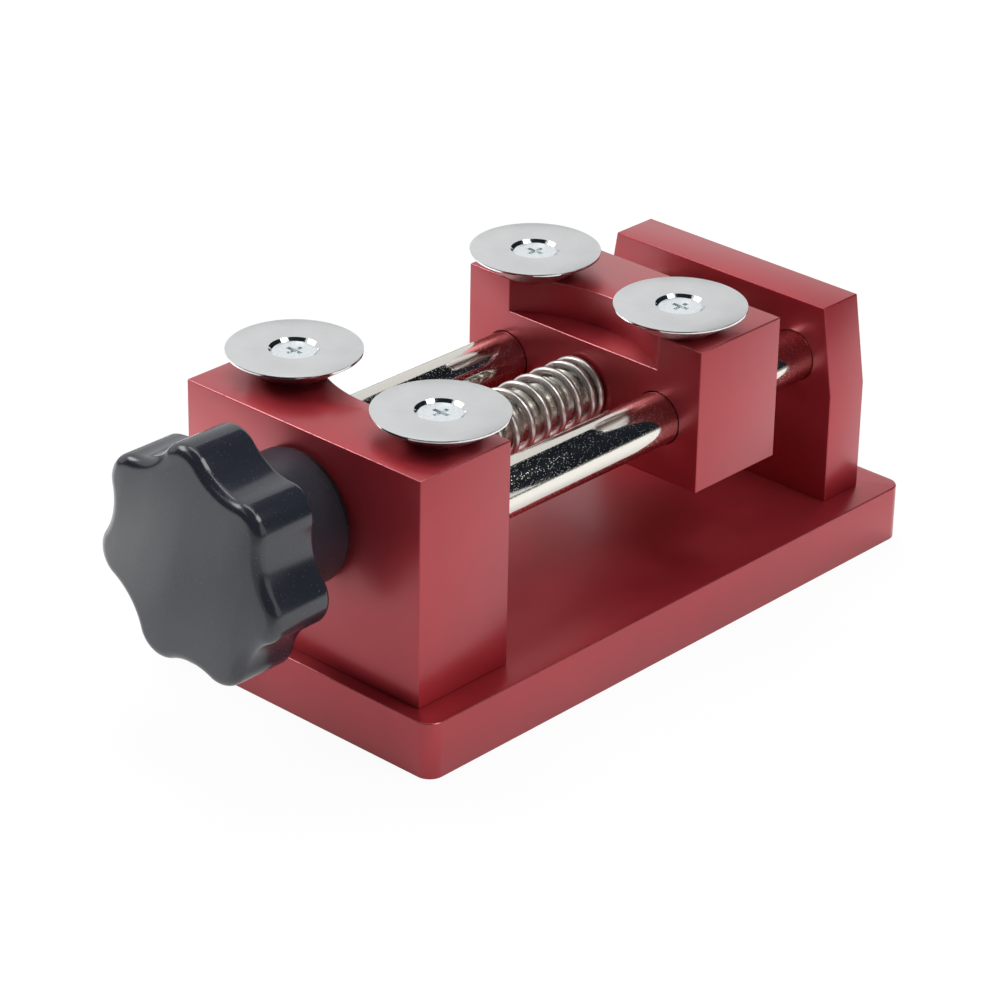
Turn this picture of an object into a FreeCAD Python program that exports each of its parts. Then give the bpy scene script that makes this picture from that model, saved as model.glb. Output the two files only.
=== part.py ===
# Watch case opener: a small screw vice whose jaws carry four sharp-rimmed discs.
# Millimetres, +Z up. The origin is the centre of the base plate's underside.
# +X runs from the knob end to the rear plate, along the closing screw.

import FreeCAD, Part
import os
from math import atan2, cos, pi, radians, sin, sqrt

from FreeCAD import Vector

# Driving dimensions: base plate
BASE_LENGTH = 130.0
BASE_WIDTH = 68.0
BASE_THICKNESS = 11.0
BASE_CORNER_RADIUS = 3.0
KNOB_END_MARGIN = 3.0
REAR_END_MARGIN = 6.8
EDGE_CHAMFER = 0.35

# Driving dimensions: jaws and rear plate, with heights above the base plate's top
JAW_LENGTH = 22.1
JAW_WIDTH = 56.5
JAW_HEIGHT = 43.4
MOVING_JAW_LIFT = 15.5
ROOM_BEHIND_MOVING_JAW = 16.4
SEAT_RADIUS = 28.0
SEAT_REACH = 6.7
SEAT_DEPTH = 6.6
PLATE_THICKNESS = 9.9
PLATE_HEIGHT = 39.0
PLATE_TOP_WIDTH = 51.0
PLATE_KINK_HEIGHT = 21.8

# Driving dimensions: guide rods
AXIS_HEIGHT = 27.4
ROD_DIAMETER = 10.0
ROD_SPACING = 37.2
ROD_SOCKET_IN_JAW = 16.0
ROD_SOCKET_IN_PLATE = 7.0
ROD_END_CHAMFER = 0.5
HOLE_MOUTH_CHAMFER = 0.1

# Driving dimensions: closing screw, with its nut, bushes and washer
SCREW_DIAMETER = 9.8
SCREW_PITCH = 1.5
SCREW_THREAD_DEPTH = 0.92
SCREW_REACH_PAST_JAW = 7.5
SCREW_END_CHAMFER = 1.0
SCREW_BUSH_WALL = 2.1
NUT_DIAMETER = 16.0
NUT_FRONT_WALL = 4.0
ROD_BUSH_WALL = 1.5
ROD_BUSH_FRONT_WALL = 4.0
WASHER_DIAMETER = 24.0
WASHER_THICKNESS = 1.0

# Driving dimensions: knob
KNOB_LOBES = 7
KNOB_TIP_DIAMETER = 44.1
KNOB_NOTCH_DIAMETER = 37.9
KNOB_LOBE_RADIUS = 5.6
KNOB_LOBE_ANGLE = 89.0
KNOB_THICKNESS = 13.5
KNOB_FRONT_ROUNDING = 2.1
KNOB_BACK_ROUNDING = 1.4
HUB_DIAMETER = 25.0
HUB_LENGTH = 13.0
INSERT_DIAMETER = 15.0
INSERT_LENGTH = 19.0
SCREW_DEPTH_IN_INSERT = 17.0

# Driving dimensions: spring
SPRING_WIRE = 1.4
SPRING_OUTER_DIAMETER = 12.9
SPRING_TURNS = 13.0
SPRING_END_PITCH = 1.0
SPRING_EASE_TURNS = 1.85
SPRING_START_ANGLE = 250.0

# Driving dimensions: discs and their screws
DISC_DIAMETER = 24.4
DISC_HEIGHT = 4.3
DISC_RIM = 0.5
DISC_FOOT_DIAMETER = 13.0
DISC_SPACING = 35.4
DISC_SETBACK = 6.3
DISC_SINK_DIAMETER = 9.0
DISC_SCREW_DIAMETER = 4.0
DISC_SCREW_HEAD_DIAMETER = 8.0
DISC_SCREW_LENGTH = 12.0
RECESS_LENGTH = 4.2
RECESS_WIDTH = 0.8
RECESS_DEPTH = 1.5

# Driving dimensions: screws up through the base plate
BASE_SCREW_DIAMETER = 5.0
BASE_SCREW_HEAD_DIAMETER = 9.4
BASE_SCREW_LENGTH = 20.0
BASE_SCREW_SPACING = 30.0
BASE_SCREW_SINK = 0.4
HEX_KEY_SIZE = 3.0
HEX_KEY_DEPTH = 2.0

# Clearances, on the radius or across a gap
RUNNING_FIT = 0.05
SEATED_FIT = 0.02
GUIDE_FIT = 0.12
OPEN_FIT = 0.25
TIP_ROOM = 1.0

# Places along X
BASE_START = -BASE_LENGTH / 2
BASE_END = BASE_LENGTH / 2
FIXED_JAW_START = BASE_START + KNOB_END_MARGIN
FIXED_JAW_END = FIXED_JAW_START + JAW_LENGTH
PLATE_END = BASE_END - REAR_END_MARGIN
PLATE_START = PLATE_END - PLATE_THICKNESS
MOVING_JAW_END = PLATE_START - ROOM_BEHIND_MOVING_JAW
MOVING_JAW_START = MOVING_JAW_END - JAW_LENGTH
HUB_START = FIXED_JAW_START - WASHER_THICKNESS - RUNNING_FIT
KNOB_BACK = HUB_START - HUB_LENGTH
KNOB_FRONT = KNOB_BACK - KNOB_THICKNESS
INSERT_BACK = HUB_START - INSERT_LENGTH
SCREW_START = HUB_START - SCREW_DEPTH_IN_INSERT
SCREW_END = MOVING_JAW_END + SCREW_REACH_PAST_JAW
FIXED_DISC_X = FIXED_JAW_END - DISC_SETBACK
MOVING_DISC_X = MOVING_JAW_START + DISC_SETBACK

# Heights above the bench
BASE_TOP = BASE_THICKNESS
AXIS_Z = BASE_TOP + AXIS_HEIGHT
JAW_TOP = BASE_TOP + JAW_HEIGHT
MOVING_JAW_BOTTOM = BASE_TOP + MOVING_JAW_LIFT
SEAT_FLOOR = JAW_TOP - SEAT_DEPTH
PLATE_TOP = BASE_TOP + PLATE_HEIGHT
PLATE_KINK = BASE_TOP + PLATE_KINK_HEIGHT
DISC_TOP = JAW_TOP + DISC_HEIGHT

# Radii and offsets that several pieces share
ROD_RADIUS = ROD_DIAMETER / 2
ROD_Y = ROD_SPACING / 2
DISC_Y = DISC_SPACING / 2
BASE_SCREW_Y = BASE_SCREW_SPACING / 2
SCREW_RADIUS = SCREW_DIAMETER / 2
SCREW_ROOT_RADIUS = SCREW_RADIUS - SCREW_THREAD_DEPTH
SCREW_BUSH_RADIUS = SCREW_RADIUS + RUNNING_FIT + SCREW_BUSH_WALL
ROD_BUSH_RADIUS = ROD_RADIUS + RUNNING_FIT + ROD_BUSH_WALL
SPRING_RADIUS = (SPRING_OUTER_DIAMETER - SPRING_WIRE) / 2
CUT_OVERRUN = 1.0


# Shape helpers
def rod_along_x(radius, start, end, y, z):
    return Part.makeCylinder(radius, end - start, Vector(start, y, z), Vector(1, 0, 0))


def rod_along_z(radius, bottom, top, x, y):
    return Part.makeCylinder(radius, top - bottom, Vector(x, y, bottom), Vector(0, 0, 1))


def cone_along_x(start_radius, end_radius, start, end, y, z):
    return Part.makeCone(start_radius, end_radius, end - start, Vector(start, y, z), Vector(1, 0, 0))


def cone_along_z(bottom_radius, top_radius, bottom, top, x, y):
    return Part.makeCone(bottom_radius, top_radius, top - bottom, Vector(x, y, bottom), Vector(0, 0, 1))


def block(start, end, width, bottom, top):
    return Part.makeBox(end - start, width, top - bottom, Vector(start, -width / 2, bottom))


def chamfered(shape, size=EDGE_CHAMFER):
    return shape.makeChamfer(size, shape.Edges)


def mouth_facing_back(radius, face_x, y, z):
    """Countersink at the mouth of a hole whose mouth looks along -X."""
    wide = radius + HOLE_MOUTH_CHAMFER
    return cone_along_x(wide, radius, face_x, face_x + HOLE_MOUTH_CHAMFER, y, z)


def mouth_facing_rear(radius, face_x, y, z):
    """Countersink at the mouth of a hole whose mouth looks along +X."""
    wide = radius + HOLE_MOUTH_CHAMFER
    return cone_along_x(radius, wide, face_x - HOLE_MOUTH_CHAMFER, face_x, y, z)


def revolved_about_x(profile, z):
    """Solid from (x, radius) points, turned about the X-directed axis at height z."""
    points = [Vector(x, 0, z + radius) for x, radius in profile]
    face = Part.Face(Part.makePolygon(points + points[:1]))
    return face.revolve(Vector(0, 0, z), Vector(1, 0, 0), 360)


def revolved_about_z(profile, x, y):
    """Solid from (radius, z) points, turned about the vertical axis through x, y."""
    points = [Vector(x + radius, y, z) for radius, z in profile]
    face = Part.Face(Part.makePolygon(points + points[:1]))
    return face.revolve(Vector(x, y, 0), Vector(0, 0, 1), 360)


# Base plate
def base_plate():
    plate = block(BASE_START, BASE_END, BASE_WIDTH, 0, BASE_TOP)
    upright = [edge for edge in plate.Edges if abs(edge.tangentAt(edge.FirstParameter).z) > 0.9]
    plate = plate.makeFillet(BASE_CORNER_RADIUS, upright)
    level = [edge for edge in plate.Edges if abs(edge.tangentAt(edge.FirstParameter).z) < 0.1]
    plate = plate.makeChamfer(EDGE_CHAMFER, level)
    holes = [base_screw_hole(x, y) for x, y in fixed_jaw_screw_places() + rear_plate_screw_places()]
    return plate.cut(holes)


def base_screw_hole(x, y):
    sink_radius = BASE_SCREW_HEAD_DIAMETER / 2 + BASE_SCREW_SINK
    shank_radius = BASE_SCREW_DIAMETER / 2 + OPEN_FIT
    sink = cone_along_z(sink_radius, shank_radius, 0, sink_radius - shank_radius, x, y)
    return sink.fuse(rod_along_z(shank_radius, 0, BASE_TOP, x, y))


def fixed_jaw_screw_places():
    middle = (FIXED_JAW_START + FIXED_JAW_END) / 2
    return [(middle, side * BASE_SCREW_Y) for side in (-1, 1)]


def rear_plate_screw_places():
    middle = (PLATE_START + PLATE_END) / 2
    return [(middle, side * BASE_SCREW_Y) for side in (-1, 1)]


def base_screw(x, y):
    """Countersunk screw with its head down, flush under the base plate."""
    head_radius = BASE_SCREW_HEAD_DIAMETER / 2
    shank_radius = BASE_SCREW_DIAMETER / 2
    head_top = BASE_SCREW_SINK + head_radius - shank_radius
    head = cone_along_z(head_radius, shank_radius, BASE_SCREW_SINK, head_top, x, y)
    tip = BASE_SCREW_SINK + BASE_SCREW_LENGTH
    screw = head.fuse(rod_along_z(shank_radius, head_top, tip, x, y))
    return screw.cut(hex_socket(x, y)).removeSplitter()


def hex_socket(x, y):
    corner = HEX_KEY_SIZE / sqrt(3)
    points = [Vector(x + corner * cos(k * pi / 3), y + corner * sin(k * pi / 3), 0) for k in range(7)]
    depth = BASE_SCREW_SINK + HEX_KEY_DEPTH
    return Part.Face(Part.makePolygon(points)).extrude(Vector(0, 0, depth))


def base_screw_threaded_hole(x, y):
    tip = BASE_SCREW_SINK + BASE_SCREW_LENGTH + TIP_ROOM
    return rod_along_z(BASE_SCREW_DIAMETER / 2 + SEATED_FIT, BASE_TOP, tip, x, y)


def fixed_jaw_screws():
    return Part.makeCompound([base_screw(x, y) for x, y in fixed_jaw_screw_places()])


def rear_plate_screws():
    return Part.makeCompound([base_screw(x, y) for x, y in rear_plate_screw_places()])


# Jaws and rear plate
def watch_seat(face_x, into_jaw):
    """Disc-shaped cutter for a jaw's curved step: into_jaw is 1 or -1 along X."""
    centre_x = face_x + into_jaw * (SEAT_REACH - SEAT_RADIUS)
    return rod_along_z(SEAT_RADIUS, SEAT_FLOOR, JAW_TOP + CUT_OVERRUN, centre_x, 0)


def disc_screw_hole(x, y):
    tip = disc_screw_top() - DISC_SCREW_LENGTH - TIP_ROOM
    return rod_along_z(DISC_SCREW_DIAMETER / 2 + SEATED_FIT, tip, JAW_TOP, x, y)


def fixed_jaw():
    jaw = chamfered(block(FIXED_JAW_START, FIXED_JAW_END, JAW_WIDTH, BASE_TOP, JAW_TOP))
    cutters = [watch_seat(FIXED_JAW_END, -1)]
    cutters += [disc_screw_hole(FIXED_DISC_X, side * DISC_Y) for side in (-1, 1)]
    cutters += [base_screw_threaded_hole(x, y) for x, y in fixed_jaw_screw_places()]
    cutters += [rod_socket_in_jaw(side * ROD_Y) for side in (-1, 1)]
    bore = SCREW_BUSH_RADIUS + SEATED_FIT
    cutters.append(rod_along_x(bore, FIXED_JAW_START, FIXED_JAW_END, 0, AXIS_Z))
    return jaw.cut(cutters)


def rod_socket_in_jaw(y):
    radius = ROD_RADIUS + SEATED_FIT
    bottom = FIXED_JAW_END - ROD_SOCKET_IN_JAW
    socket = rod_along_x(radius, bottom, FIXED_JAW_END, y, AXIS_Z)
    return socket.fuse(mouth_facing_rear(radius, FIXED_JAW_END, y, AXIS_Z))


def moving_jaw():
    jaw = chamfered(block(MOVING_JAW_START, MOVING_JAW_END, JAW_WIDTH, MOVING_JAW_BOTTOM, JAW_TOP))
    cutters = [watch_seat(MOVING_JAW_START, 1)]
    cutters += [disc_screw_hole(MOVING_DISC_X, side * DISC_Y) for side in (-1, 1)]
    cutters += [guide_bore(side * ROD_Y) for side in (-1, 1)]
    cutters.append(nut_bore())
    return jaw.cut(cutters)


def guide_bore(y):
    """Bore for a rod and, behind its front wall, for the rod's bush."""
    front = ROD_RADIUS + GUIDE_FIT
    bore = rod_along_x(front, MOVING_JAW_START, MOVING_JAW_END, y, AXIS_Z)
    seat_start = MOVING_JAW_START + ROD_BUSH_FRONT_WALL
    seat = rod_along_x(ROD_BUSH_RADIUS + SEATED_FIT, seat_start, MOVING_JAW_END, y, AXIS_Z)
    return bore.fuse([seat, mouth_facing_back(front, MOVING_JAW_START, y, AXIS_Z)])


def nut_bore():
    front = SCREW_RADIUS + OPEN_FIT
    bore = rod_along_x(front, MOVING_JAW_START, MOVING_JAW_END, 0, AXIS_Z)
    seat_start = MOVING_JAW_START + NUT_FRONT_WALL
    return bore.fuse(rod_along_x(NUT_DIAMETER / 2 + SEATED_FIT, seat_start, MOVING_JAW_END, 0, AXIS_Z))


def rear_plate():
    half = JAW_WIDTH / 2
    half_top = PLATE_TOP_WIDTH / 2
    outline = [(half, BASE_TOP), (half, PLATE_KINK), (half_top, PLATE_TOP)]
    outline += [(-y, z) for y, z in reversed(outline)]
    points = [Vector(PLATE_START, y, z) for y, z in outline]
    face = Part.Face(Part.makePolygon(points + points[:1]))
    plate = chamfered(face.extrude(Vector(PLATE_THICKNESS, 0, 0)))
    cutters = [rod_socket_in_plate(side * ROD_Y) for side in (-1, 1)]
    cutters += [base_screw_threaded_hole(x, y) for x, y in rear_plate_screw_places()]
    return plate.cut(cutters)


def rod_socket_in_plate(y):
    radius = ROD_RADIUS + SEATED_FIT
    socket = rod_along_x(radius, PLATE_START, PLATE_START + ROD_SOCKET_IN_PLATE, y, AXIS_Z)
    return socket.fuse(mouth_facing_back(radius, PLATE_START, y, AXIS_Z))


# Guide rods and the moving jaw's bushes on them
def guide_rod(side):
    start = FIXED_JAW_END - ROD_SOCKET_IN_JAW
    end = PLATE_START + ROD_SOCKET_IN_PLATE
    rod = rod_along_x(ROD_RADIUS, start, end, side * ROD_Y, AXIS_Z)
    ends = [edge for edge in rod.Edges if isinstance(edge.Curve, Part.Circle)]
    return rod.makeChamfer(ROD_END_CHAMFER, ends)


def jaw_bush(side):
    start = MOVING_JAW_START + ROD_BUSH_FRONT_WALL
    bush = rod_along_x(ROD_BUSH_RADIUS, start, MOVING_JAW_END, side * ROD_Y, AXIS_Z)
    bore = rod_along_x(ROD_RADIUS + RUNNING_FIT, start, MOVING_JAW_END, side * ROD_Y, AXIS_Z)
    return bush.cut(bore)


# Closing screw, its bush, nut and washer
def lead_screw():
    """Screw with a plain shank through the fixed jaw and thread grooves beyond it."""
    profile = [(SCREW_START, 0), (SCREW_START, SCREW_RADIUS), (FIXED_JAW_END, SCREW_RADIUS)]
    thread_end = SCREW_END - SCREW_END_CHAMFER
    grooves = int((thread_end - FIXED_JAW_END) / SCREW_PITCH)
    for k in range(grooves):
        groove = FIXED_JAW_END + (k + 0.5) * SCREW_PITCH
        profile.append((groove - SCREW_THREAD_DEPTH * sin(pi / 6) / cos(pi / 6), SCREW_RADIUS))
        profile.append((groove, SCREW_ROOT_RADIUS))
        profile.append((groove + SCREW_THREAD_DEPTH * sin(pi / 6) / cos(pi / 6), SCREW_RADIUS))
    profile.append((thread_end, SCREW_RADIUS))
    profile.append((SCREW_END, SCREW_RADIUS - SCREW_END_CHAMFER))
    profile.append((SCREW_END, 0))
    return revolved_about_x(profile, AXIS_Z)


def screw_bush():
    bush = rod_along_x(SCREW_BUSH_RADIUS, FIXED_JAW_START, FIXED_JAW_END, 0, AXIS_Z)
    bore = rod_along_x(SCREW_RADIUS + RUNNING_FIT, FIXED_JAW_START, FIXED_JAW_END, 0, AXIS_Z)
    return bush.cut(bore)


def lead_nut():
    start = MOVING_JAW_START + NUT_FRONT_WALL
    nut = rod_along_x(NUT_DIAMETER / 2, start, MOVING_JAW_END, 0, AXIS_Z)
    bore = rod_along_x(SCREW_RADIUS + RUNNING_FIT, start, MOVING_JAW_END, 0, AXIS_Z)
    return nut.cut(bore)


def thrust_washer():
    start = FIXED_JAW_START - WASHER_THICKNESS
    washer = rod_along_x(WASHER_DIAMETER / 2, start, FIXED_JAW_START, 0, AXIS_Z)
    bore = rod_along_x(SCREW_RADIUS + OPEN_FIT, start, FIXED_JAW_START, 0, AXIS_Z)
    return washer.cut(bore)


# Knob
def knob_outline():
    """Closed wire of tangent arcs: round lobes joined by small round notches."""
    tip = KNOB_TIP_DIAMETER / 2
    root = KNOB_NOTCH_DIAMETER / 2
    half_step = pi / KNOB_LOBES
    lobe_centre = tip - KNOB_LOBE_RADIUS
    lean = 2 * lobe_centre * cos(half_step)
    spread = lobe_centre ** 2 + root ** 2 - lean * root - KNOB_LOBE_RADIUS ** 2
    notch_radius = spread / (2 * KNOB_LOBE_RADIUS + lean - 2 * root)
    notch_centre = root + notch_radius
    arcs = []
    for k in range(KNOB_LOBES):
        lobe_angle = radians(KNOB_LOBE_ANGLE) + 2 * half_step * k
        lobe = knob_point(lobe_centre, lobe_angle)
        before = knob_point(notch_centre, lobe_angle - half_step)
        after = knob_point(notch_centre, lobe_angle + half_step)
        share = KNOB_LOBE_RADIUS / (KNOB_LOBE_RADIUS + notch_radius)
        lobe_start = lobe + (before - lobe) * share
        lobe_end = lobe + (after - lobe) * share
        next_lobe = knob_point(lobe_centre, lobe_angle + 2 * half_step)
        notch_end = next_lobe + (after - next_lobe) * share
        arcs.append(Part.Arc(lobe_start, knob_point(tip, lobe_angle), lobe_end).toShape())
        arcs.append(Part.Arc(lobe_end, knob_point(root, lobe_angle + half_step), notch_end).toShape())
    return Part.Wire(arcs)


def knob_point(radius, angle):
    return Vector(KNOB_FRONT, radius * cos(angle), AXIS_Z + radius * sin(angle))


def star_knob():
    head = Part.Face(knob_outline()).extrude(Vector(KNOB_THICKNESS, 0, 0))
    front = [edge for edge in head.Edges if edge.BoundBox.XMax < KNOB_FRONT + EDGE_CHAMFER]
    head = head.makeFillet(KNOB_FRONT_ROUNDING, front)
    back = [edge for edge in head.Edges if edge.BoundBox.XMin > KNOB_BACK - EDGE_CHAMFER]
    head = head.makeFillet(KNOB_BACK_ROUNDING, back)
    hub = rod_along_x(HUB_DIAMETER / 2, KNOB_BACK, HUB_START, 0, AXIS_Z)
    pocket = rod_along_x(INSERT_DIAMETER / 2 + SEATED_FIT, INSERT_BACK, HUB_START, 0, AXIS_Z)
    return head.fuse(hub).removeSplitter().cut(pocket)


def knob_insert():
    insert = rod_along_x(INSERT_DIAMETER / 2, INSERT_BACK, HUB_START, 0, AXIS_Z)
    hole = rod_along_x(SCREW_RADIUS + SEATED_FIT, SCREW_START, HUB_START, 0, AXIS_Z)
    return insert.cut(hole)


# Spring
def spring_span():
    """First and last centre line place along X: the wire just clears both jaws."""
    inset = SPRING_WIRE / 2 + RUNNING_FIT
    return FIXED_JAW_END + inset, MOVING_JAW_START - inset


def spring_body_pitch():
    start, end = spring_span()
    return (end - start - SPRING_EASE_TURNS * SPRING_END_PITCH) / (SPRING_TURNS - SPRING_EASE_TURNS)


def spring_rise(from_end):
    """Way along X in this many turns from either end, where the pitch grows evenly at first."""
    eased = min(from_end, SPRING_EASE_TURNS)
    full_turns = eased ** 2 / (2 * SPRING_EASE_TURNS) + from_end - eased
    return SPRING_END_PITCH * from_end + (spring_body_pitch() - SPRING_END_PITCH) * full_turns


def spring_point(turn):
    angle = radians(SPRING_START_ANGLE) + 2 * pi * turn
    start, end = spring_span()
    if turn < SPRING_TURNS / 2:
        x = start + spring_rise(turn)
    else:
        x = end - spring_rise(SPRING_TURNS - turn)
    return Vector(x, SPRING_RADIUS * cos(angle), AXIS_Z + SPRING_RADIUS * sin(angle))


def spring_direction(turn):
    angle = radians(SPRING_START_ANGLE) + 2 * pi * turn
    share = min(turn / SPRING_EASE_TURNS, (SPRING_TURNS - turn) / SPRING_EASE_TURNS, 1.0)
    pitch = SPRING_END_PITCH + (spring_body_pitch() - SPRING_END_PITCH) * share
    around = 2 * pi * SPRING_RADIUS
    return Vector(pitch, -around * sin(angle), around * cos(angle)).normalize()


def tangent_arc(start, corner, end):
    """Arc from start to end, tangent to both sides of the equal-sided corner."""
    middle = (start + end) * 0.5
    chord = (end - start).Length
    rise = corner - middle
    half_angle = atan2(2 * rise.Length, chord)
    bulge = chord / 2 * (1 - cos(half_angle)) / sin(half_angle)
    return Part.Arc(start, middle + rise.normalize() * bulge, end).toShape()


def biarc(first, first_way, last, last_way):
    """Two tangent arcs between two points with given directions."""
    span = last - first
    ways = first_way + last_way
    a = 4 - ways.dot(ways)
    b = 2 * span.dot(ways)
    reach = (sqrt(b * b + 4 * a * span.dot(span)) - b) / (2 * a)
    corner = first + first_way * reach
    far_corner = last - last_way * reach
    joint = (corner + far_corner) * 0.5
    return [tangent_arc(first, corner, joint), tangent_arc(joint, far_corner, last)]


def return_spring():
    steps = int(round(SPRING_TURNS * 4))
    turns = [SPRING_TURNS * k / steps for k in range(steps + 1)]
    edges = []
    for here, there in zip(turns, turns[1:]):
        edges += biarc(
            spring_point(here), spring_direction(here), spring_point(there), spring_direction(there)
        )
    ring = Part.Circle(spring_point(0), spring_direction(0), SPRING_WIRE / 2)
    return Part.Wire(edges).makePipeShell([Part.Wire(ring.toShape())], True, False)


def print_spring_gap():
    """Least gap between the wire and its own neighbouring turn, measured on points."""
    samples = 72
    count = int(SPRING_TURNS * samples)
    points = [spring_point(k / samples) for k in range(count + 1)]
    near = [
        points[k].distanceToPoint(points[m])
        for k in range(count + 1)
        for m in range(k + samples // 2, min(k + 2 * samples, count + 1))
    ]
    print("spring: least gap to itself %.2f mm" % (min(near) - SPRING_WIRE))


# Discs and their screws
def disc_screw_top():
    """A 90 degree countersink lets the smaller head sink by the difference of the radii."""
    return DISC_TOP - (DISC_SINK_DIAMETER - DISC_SCREW_HEAD_DIAMETER) / 2


def disc(x, side):
    rim = DISC_DIAMETER / 2
    foot = DISC_FOOT_DIAMETER / 2
    sink = DISC_SINK_DIAMETER / 2
    bore = DISC_SCREW_DIAMETER / 2 + OPEN_FIT
    profile = [(bore, JAW_TOP), (foot, JAW_TOP), (rim, DISC_TOP - DISC_RIM), (rim, DISC_TOP)]
    profile += [(sink, DISC_TOP), (bore, DISC_TOP - sink + bore)]
    return revolved_about_z(profile, x, side * DISC_Y)


def disc_screw(x, side):
    y = side * DISC_Y
    top = disc_screw_top()
    head = DISC_SCREW_HEAD_DIAMETER / 2
    shank = DISC_SCREW_DIAMETER / 2
    bottom = top - DISC_SCREW_LENGTH
    profile = [(0, bottom), (shank, bottom), (shank, top - head + shank), (head, top), (0, top)]
    recess_x = Part.makeBox(
        RECESS_LENGTH, RECESS_WIDTH, RECESS_DEPTH,
        Vector(x - RECESS_LENGTH / 2, y - RECESS_WIDTH / 2, top - RECESS_DEPTH),
    )
    recess_y = Part.makeBox(
        RECESS_WIDTH, RECESS_LENGTH, RECESS_DEPTH,
        Vector(x - RECESS_WIDTH / 2, y - RECESS_LENGTH / 2, top - RECESS_DEPTH),
    )
    return revolved_about_z(profile, x, y).cut([recess_x, recess_y])


def disc_screws(x):
    return Part.makeCompound([disc_screw(x, side) for side in (-1, 1)])


# Left is the side of +Y, seen from the knob looking along the screw
PIECES = {
    "base_plate": base_plate(),
    "fixed_jaw": fixed_jaw(),
    "moving_jaw": moving_jaw(),
    "rear_plate": rear_plate(),
    "guide_rod_left": guide_rod(1),
    "guide_rod_right": guide_rod(-1),
    "jaw_bush_left": jaw_bush(1),
    "jaw_bush_right": jaw_bush(-1),
    "lead_screw": lead_screw(),
    "screw_bush": screw_bush(),
    "lead_nut": lead_nut(),
    "thrust_washer": thrust_washer(),
    "star_knob": star_knob(),
    "knob_insert": knob_insert(),
    "return_spring": return_spring(),
    "fixed_disc_left": disc(FIXED_DISC_X, 1),
    "fixed_disc_right": disc(FIXED_DISC_X, -1),
    "moving_disc_left": disc(MOVING_DISC_X, 1),
    "moving_disc_right": disc(MOVING_DISC_X, -1),
    "fixed_disc_screws": disc_screws(FIXED_DISC_X),
    "moving_disc_screws": disc_screws(MOVING_DISC_X),
    "fixed_jaw_screws": fixed_jaw_screws(),
    "rear_plate_screws": rear_plate_screws(),
}

os.makedirs("parts", exist_ok=True)
for name, shape in PIECES.items():
    shape.exportStep("parts/" + name + ".step")
print_spring_gap()
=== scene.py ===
"""Watch case opener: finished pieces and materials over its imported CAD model.

Lengths are in metres in the row frame: +X runs along the closing screw, from the knob to the
rear plate, and Z = 0 is the underside of the base plate.
"""

from math import asin, atan2, cos, pi, radians, sin, sqrt

import bmesh
import bpy
from bpy.props import FloatProperty, FloatVectorProperty, IntProperty, PointerProperty
from bpy.types import Operator, Panel, PropertyGroup
from mathutils import Matrix, Vector


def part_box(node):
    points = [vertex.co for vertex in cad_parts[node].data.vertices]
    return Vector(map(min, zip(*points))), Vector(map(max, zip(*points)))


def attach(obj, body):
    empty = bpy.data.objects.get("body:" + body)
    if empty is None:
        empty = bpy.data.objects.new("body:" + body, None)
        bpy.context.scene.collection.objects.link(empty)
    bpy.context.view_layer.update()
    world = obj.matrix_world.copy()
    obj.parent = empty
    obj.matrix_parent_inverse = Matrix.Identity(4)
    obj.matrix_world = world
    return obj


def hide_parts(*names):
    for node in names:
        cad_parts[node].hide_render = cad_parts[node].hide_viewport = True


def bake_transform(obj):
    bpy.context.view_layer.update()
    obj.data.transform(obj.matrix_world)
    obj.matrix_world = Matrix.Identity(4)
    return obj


bl_info = {
    "name": "Watch case opener",
    "version": (1, 0, 0),
    "blender": (4, 5, 0),
    "location": "3D View > Sidebar > Case opener",
    "description": "Models the finished pieces of a watch case opener over its CAD frame",
    "category": "Object",
}

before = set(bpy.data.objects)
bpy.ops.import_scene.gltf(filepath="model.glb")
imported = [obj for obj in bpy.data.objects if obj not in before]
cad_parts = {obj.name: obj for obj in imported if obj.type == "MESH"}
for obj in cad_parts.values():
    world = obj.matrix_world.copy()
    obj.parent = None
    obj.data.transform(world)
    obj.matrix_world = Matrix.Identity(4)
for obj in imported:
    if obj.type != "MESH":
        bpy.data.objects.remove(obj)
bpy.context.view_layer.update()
MM = 0.001
X_AXIS = Vector((1, 0, 0))
Y_AXIS = Vector((0, 1, 0))
Z_AXIS = Vector((0, 0, 1))


class Extent:
    """Where a CAD node lies at rest."""

    def __init__(self, node):
        self.low, self.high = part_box(node)
        self.middle = (self.low + self.high) / 2
        self.size = self.high - self.low


BASE = Extent("base_plate")
FIXED_JAW = Extent("fixed_jaw")
MOVING_JAW = Extent("moving_jaw")
REAR_PLATE = Extent("rear_plate")
SCREW = Extent("lead_screw")
AXIS_HEIGHT = SCREW.middle.z
SIDES = ("left", "right")
JAW_BODIES = (("fixed", "vice_frame"), ("moving", "jaw_carriage"))
SEATED_FIT = 0.02 * MM
RUNNING_FIT = 0.05 * MM
GUIDE_FIT = 0.12 * MM
OPEN_FIT = 0.25 * MM
BASE_SCREW_SHANK = 2.5 * MM
BASE_SCREW_SINK = 5.1 * MM
BASE_SCREW_HOLE_END = 21.4 * MM
HEX_SOCKET_DEPTH = 2.4 * MM
DISC_SCREW_SHANK = 2.0 * MM
DISC_SCREW_HOLE_DEPTH = 9.2 * MM
SCREW_TIP_CHAMFER = 1.0 * MM
THREAD_LAP = 3 * MM
MERGE_REACH = 0.002 * MM
HAIR = 0.01 * MM


def length(name, description, millimetres):
    return FloatProperty(
        name=name, description=description, default=millimetres * MM,
        min=0.0, precision=5, unit="LENGTH", subtype="DISTANCE",
    )


def colour(name, description, value):
    return FloatVectorProperty(
        name=name, description=description, default=value, size=3, min=0.0, max=1.0, subtype="COLOR",
    )


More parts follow.
